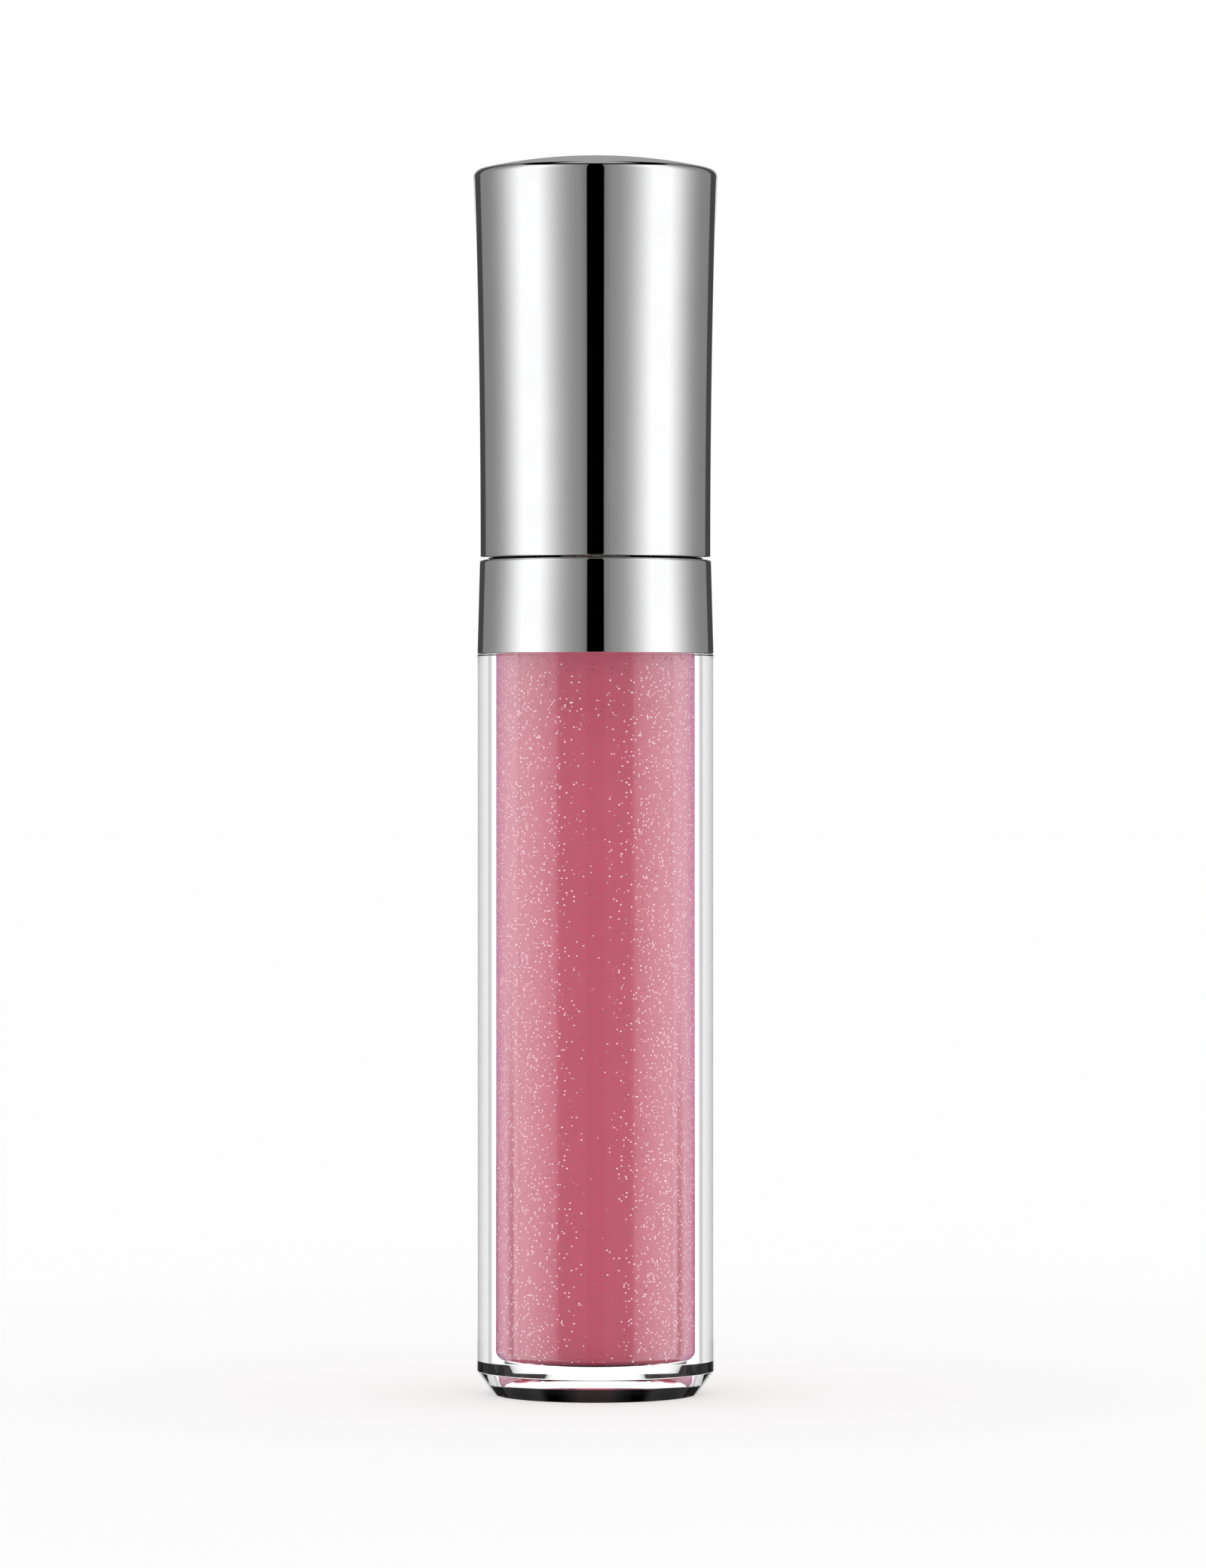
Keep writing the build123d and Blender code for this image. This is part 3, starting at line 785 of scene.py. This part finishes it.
def fibre_ends(skin, normal):
    """Thin three-sided pyramids, four points each, that stand on random points of the skin's grid.

    Each leans off the normal by a random vector. Its length is the fibre's times the square of a
    random share, so most are short.
    """
    random = np.random.default_rng(FIBRE_SEED)
    rows, columns = skin.shape[:2]
    at_row, at_column = random.integers(2, rows - 2, FIBRES), random.integers(0, columns, FIBRES)
    root, along = skin[at_row, at_column], normal[at_row, at_column]
    along = unit_rows(along + random.normal(scale=FIBRE_LEAN, size=(FIBRES, 3)))
    side = unit_rows(np.cross(along, random.normal(size=(FIBRES, 3))))
    third = np.linspace(0, 2 * np.pi, 3, endpoint=False)[:, None, None]
    spoke = np.cos(third) * side + np.sin(third) * np.cross(along, side)
    ring = root - along * FIBRE_ROOT + FIBRE_R * spoke
    reach = (random.uniform(0.25, 1.0, FIBRES) ** 2)[:, None] * FIBRE_LENGTH
    return np.concatenate([ring, (root + along * reach)[None]]).transpose(1, 0, 2).reshape(-1, 3)


def fibre_faces(pyramids, skin, shell):
    """Triangles of the pyramids, wound as the shell's are, so that both volumes have one sign."""
    corners = np.array([(0, 1, 3), (1, 2, 3), (2, 0, 3), (0, 2, 1)])
    faces = (4 * np.arange(FIBRES)[:, None, None] + corners).reshape(-1, 3)
    local = pyramids - np.repeat(pyramids.reshape(-1, 4, 3).mean(1), 4, axis=0)
    same = six_volumes(local, faces) * six_volumes(skin - skin.mean(0), shell) > 0
    return faces if same else faces[:, ::-1]


# %% Flocked skin
FLOCK_ROWS, FLOCK_COLUMNS = 190, 220
FLOCK_DEPTH, FLOCK_REST, CLUMP_HEIGHT = 0.5 * MM, 0.06 * MM, 0.05 * MM


def flocked_skin():
    """Outer skin raised into clumps, the inner face on the core, and the fibre ends, as one mesh.

    Row i is at a share (1 - cos(pi i / n)) / 2 of the length, which crowds the rows at both ends.
    """
    share = (1 - np.cos(np.pi * np.linspace(0, 1, FLOCK_ROWS))) / 2
    turn = np.linspace(0, 2 * np.pi, FLOCK_COLUMNS, endpoint=False)[None, :]
    outer, inner = leaf_point(share, turn, FLOCK_REST), leaf_point(share, turn, FLOCK_DEPTH)
    normal = grid_normals(outer)
    outer = outer + normal * (clumps(outer) * CLUMP_HEIGHT)[:, :, None]
    for grid in (outer, inner):
        grid[0], grid[-1] = grid[0].mean(0), grid[-1].mean(0)
    shell = grid_faces(FLOCK_ROWS, FLOCK_COLUMNS, True, True)
    pyramids = fibre_ends(outer, normal)
    skin, lining = outer.reshape(-1, 3), inner.reshape(-1, 3)
    ends = fibre_faces(pyramids, skin, shell) + len(skin) + len(lining)
    faces = np.concatenate([shell, shell[:, ::-1] + len(skin), ends])
    return mesh_object("flocked_skin", np.concatenate([skin, lining, pyramids]), faces)


def wet_flock():
    """Rose fibres soaked in gloss: deep between the clumps, paler on them, with a wet shine."""
    finish = Finish("flocking")
    cloud = finish.noise(1.1, detail=4.0)
    fine = finish.noise(8.0, detail=2.0)
    colour = finish.blend_colour(cloud.above(0.5, 0.5), (0.26, 0.040, 0.072), (0.47, 0.115, 0.165))
    return finish.done(finish.principled(
        Base_Color=finish.blend_colour(fine.above(0.62, 0.2) * 0.35, colour, (0.86, 0.52, 0.58)),
        Roughness=0.5 - cloud.above(0.45, 0.3) * 0.25, Sheen_Weight=0.2, Sheen_Roughness=0.4,
        Coat_Weight=cloud.above(0.45, 0.2), Coat_Roughness=0.06,
        Normal=finish.bump(fine, 6 * RELIEF, 0.6)))


dress(flocked_skin(), wet_flock(), "closure", "applicator_flock")

# %% [markdown]
# ## The label
# A round black film label fills the recess under the foot. Seen through the bevel it is the dark lens at
# the tube's base, so its place in the recess matters more than its own look. A plain disc is enough.

# %% Label
LABEL_UNDERSIDE, LABEL_MARGIN, LABEL_EDGE = 0.8 * MM, 0.05 * MM, 0.03 * MM


def black_film():
    """Matt black label film: nearly level, with a faint ripple from the adhesive."""
    finish = Finish("black_label")
    ripple = finish.noise(0.7, detail=2.0)
    return finish.done(finish.principled(
        Base_Color=finish.blend_colour(ripple, (0.003, 0.003, 0.004), (0.007, 0.007, 0.008)),
        Roughness=0.5 + ripple * 0.2, Specular_IOR_Level=0.0, Normal=finish.bump(ripple, RELIEF, 0.3)))


def label_profile():
    """Disc between its underside and the recess's ceiling, less a guard's width of air."""
    edge_r, top = BARREL_R - FOOT_INSET - RING_WIDTH - LABEL_MARGIN, LABEL_SEAT - GUARD
    corners = [(0, LABEL_UNDERSIDE), (edge_r, LABEL_UNDERSIDE), (edge_r, top), (0, top)]
    return rounded(corners, [LABEL_EDGE, LABEL_EDGE])


dress(turned("label_film", label_profile()), black_film(), "tube", "base_label")

# %% [markdown]
# ## Pieces kept from the frame
# The liner with its thread and ribs, the gasket and the applicator's core are right as they come, so they
# only get their finish. None of them shows while the tube is closed.

# %% Finishes of the kept pieces
def foam():
    """Pale sealing foam: small closed cells under a thin skin."""
    finish = Finish("seal_rubber")
    inputs = {"Vector": finish.place(), "Scale": 4.0}
    cells = finish.node("ShaderNodeTexVoronoi", {"feature": "F1"}, inputs, "Distance")
    return finish.done(finish.principled(
        Base_Color=finish.blend_colour(cells, (0.80, 0.80, 0.78), (0.70, 0.70, 0.68)),
        Roughness=0.62 + cells * 0.2, Normal=finish.bump(cells, 3 * RELIEF, 0.5)))


KEPT = {
    "inner_cap": milky("liner_plastic", (0.87, 0.87, 0.86), 0.3, 0.0, grain=2.0),
    "gasket": foam(),
    "applicator_core": milky("core_plastic", (0.80, 0.50, 0.54), 0.25, 0.0, grain=2.5),
}
for node, material in KEPT.items():
    for slot in bpy.data.objects[node].material_slots:
        slot.material = material
print("kept from the frame:", ", ".join(KEPT))

# %% [markdown]
# ## Camera
# A long lens level with the middle of the tube keeps its sides upright. The film is shifted a little, so
# that the tube sits slightly left of the middle, without turning the camera and making its sides lean.

# %% Camera
VIEW_DISTANCE, EYE_HEIGHT, NEAREST = 550 * MM, 51 * MM, 10 * MM
LENS, FILM_SIZE, FILM_SHIFT = 158.0, 36.0, (0.0048, -0.0183)


def make_camera():
    """Camera on the -Y side that looks level along +Y, which is a quarter turn up from straight down."""
    data = bpy.data.cameras.new("camera")
    data.lens, data.sensor_width, data.clip_start = LENS, FILM_SIZE, NEAREST
    data.shift_x, data.shift_y = FILM_SHIFT
    camera = bpy.data.objects.new("camera", data)
    camera.location = (0, -VIEW_DISTANCE, EYE_HEIGHT)
    camera.rotation_euler = (np.pi / 2, 0, 0)
    scene.collection.objects.link(camera)
    scene.camera = camera


make_camera()
print(f"camera {VIEW_DISTANCE / MM:.0f} mm in front and {EYE_HEIGHT / MM:.0f} mm up, lens {LENS:.0f} mm")

# %% [markdown]
# ## The studio
# A mirror shows the room, so the room is the finish of the metal. Round the tube stands a light tent whose
# glow depends on direction: a narrow black card in front, a soft lamp on each side that fades both ways,
# a dark flag towards the back, and white behind. A second tent is seen only through the clear wall, so
# that the gloss can have harder lamps of its own, as in a studio where the two are lit in turn.

# %% Glow of the tent that the metal mirrors
def ramp(value, start, end):
    """Smooth step 3 s^2 - 2 s^3, where the share s goes from 0 at start to 1 at end."""
    share = np.clip((value - start) / (end - start), 0, 1)
    return share * share * (3 - 2 * share)


LAMP_AZIMUTH, LAMP_BASE, LAMP_GAIN, LAMP_TOP = 66, 0.225, 0.95, 1.07
FLAG_FROM, FLAG_TO, FLAG_GLOW = (139, 142), (160, 164), 0.06
ZENITH_GLOW, NADIR_GLOW = 0.40, 0.34


def metal_glow(azimuth, elevation):
    """Brightness by the angles off the front and the level, in degrees.

    The lamp is a base plus a bell, exp(-((a - middle) / spread)^2), cut off at its top. The card hides
    it up to 8 degrees and dims it up to 16. The flag and the backdrop follow, and both poles are dim.
    """
    spread = np.where(azimuth < LAMP_AZIMUTH, 27.5, 30.0)
    bell = np.exp(-((azimuth - LAMP_AZIMUTH) / spread) ** 2)
    lamp = np.minimum(LAMP_BASE + LAMP_GAIN * bell, LAMP_TOP)
    lamp = lamp * (0.78 + 0.22 * ramp(azimuth, 8, 16)) * ramp(azimuth, 7.9, 8.7)
    behind = ramp(azimuth, *FLAG_TO)
    flag = ramp(azimuth, *FLAG_FROM) * (1 - behind)
    level = (lamp * (1 - flag) + FLAG_GLOW * flag) * (1 - behind)
    level = level * (1 - ramp(elevation, 52, 56)) * ramp(elevation, -62, -56)
    backdrop = 1.08 - 0.74 * ramp(elevation, 6, 7)
    poles = ZENITH_GLOW * ramp(elevation, 68, 80) + NADIR_GLOW * (1 - ramp(elevation, -76, -66))
    return np.maximum(level + behind * backdrop, poles)


# %% Glow of the tent behind the clear wall
CARD_GLOW, OVERHEAD_GLOW = 0.02, 1.6


def gloss_glow(azimuth, elevation):
    """Brightness by the same angles: a dark card in front, hard-edged lamps at the sides, light overhead.

    Each lamp edge is a ramp over a degree or two. A dim strip far back draws the line down the wall.
    """
    side = CARD_GLOW + 1.03 * ramp(azimuth, 56, 59)
    side = side - 0.33 * ramp(azimuth, 125.5, 127) + 0.48 * ramp(azimuth, 130, 131.5)
    strip = ramp(azimuth, 141.5, 143) * (1 - ramp(azimuth, 145, 166)) * (1 - ramp(elevation, -5.2, -4.8))
    side = side * (1 - 0.85 * strip)
    overhead = ramp(elevation, 28, 34)
    below = 1 - ramp(elevation, -50, -42)
    return (side * (1 - overhead) + OVERHEAD_GLOW * overhead) * (1 - 0.97 * below)


# %% Light tents
METAL_TENT_R, GLOSS_TENT_R, STEPS_PER_DEGREE = 1.2, 1.3, 2
RAY_KINDS = ("camera", "diffuse", "glossy", "transmission", "volume_scatter", "shadow")


def glowing(name):
    """Emission whose colour is the mesh's glow attribute, as a grey.

    It isn't sampled as a lamp: a ray finds it only by meeting it, as the mirrors' rays do.
    """
    finish = Finish(name)
    glow = finish.node("ShaderNodeAttribute", {"attribute_name": "glow"}, output="Fac")
    material = finish.done(finish.node("ShaderNodeEmission", inputs={"Color": glow}))
    material.cycles.emission_sampling = "NONE"
    return material


def light_tent(name, size, glow, seen_by):
    """Ball about the eye's height that glows by direction, and is seen by one kind of ray only."""
    elevation = np.radians(np.linspace(-90, 90, 180 * STEPS_PER_DEGREE + 1))[:, None]
    azimuth = np.radians(np.arange(0, 360, 1 / STEPS_PER_DEGREE))[None, :]
    level = size * np.cos(elevation)
    height = EYE_HEIGHT + size * np.sin(elevation)
    points = np.stack([level * np.sin(azimuth), -level * np.cos(azimuth), height + 0 * azimuth], 2)
    faces = grid_faces(*points.shape[:2], True, True)
    off_front = np.degrees(np.minimum(azimuth, 2 * np.pi - azimuth)) + 0 * elevation
    bright = glow(off_front, np.degrees(elevation) + 0 * azimuth).reshape(-1)[np.unique(faces)]
    tent = mesh_object(name, points.reshape(-1, 3), faces)
    attribute = tent.data.attributes.new("glow", "FLOAT", "POINT")
    attribute.data.foreach_set("value", bright.astype(np.float32))
    tent.data.materials.append(glowing(name))
    for kind in RAY_KINDS:
        setattr(tent, "visible_" + kind, kind == seen_by)


light_tent("tent_for_metal", METAL_TENT_R, metal_glow, "glossy")
light_tent("tent_for_gloss", GLOSS_TENT_R, gloss_glow, "transmission")

# %% [markdown]
# ## Floor and room light
# The tube stands on a pale floor in a white room. The floor is a wide disc that mirrors and clear plastic
# don't see, because they have the tents. The room's even white light makes the soft shadow at the foot.

# %% Floor and room light
FLOOR_R, FLOOR_CORNERS, ROOM_STRENGTH = 4, 96, 1.03


def make_floor():
    """Regular polygon of many corners, level with the foot."""
    around = np.linspace(0, 2 * np.pi, FLOOR_CORNERS, endpoint=False)
    rim = np.column_stack([FLOOR_R * np.cos(around), FLOOR_R * np.sin(around), 0 * around])
    mesh = bpy.data.meshes.new("floor")
    mesh.from_pydata(rim.tolist(), [], [list(range(FLOOR_CORNERS))])
    floor = bpy.data.objects.new("floor", mesh)
    scene.collection.objects.link(floor)
    finish = Finish("pale_floor")
    pale = finish.blend_colour(finish.noise(0.02), (0.955, 0.955, 0.955), (0.965, 0.965, 0.965))
    mesh.materials.append(finish.done(finish.node("ShaderNodeBsdfDiffuse", inputs={"Color": pale})))
    floor.visible_glossy = floor.visible_transmission = False


def room_light():
    """Even white light from all round."""
    world = bpy.data.worlds.new("room")
    world.use_nodes = True
    background = world.node_tree.nodes["Background"]
    background.inputs["Color"].default_value = (1, 1, 1, 1)
    background.inputs["Strength"].default_value = ROOM_STRENGTH
    scene.world = world


make_floor()
room_light()
print(f"floor {2 * FLOOR_R} m across, room light {ROOM_STRENGTH}")

# %% How light is followed
# Light crosses many clear surfaces in the wall and the stem, so it needs more bounces than usual.
scene.view_settings.view_transform = "Standard"
scene.cycles.use_denoising = True
scene.cycles.max_bounces = 18
scene.cycles.transmission_bounces = 16
scene.cycles.glossy_bounces = 8
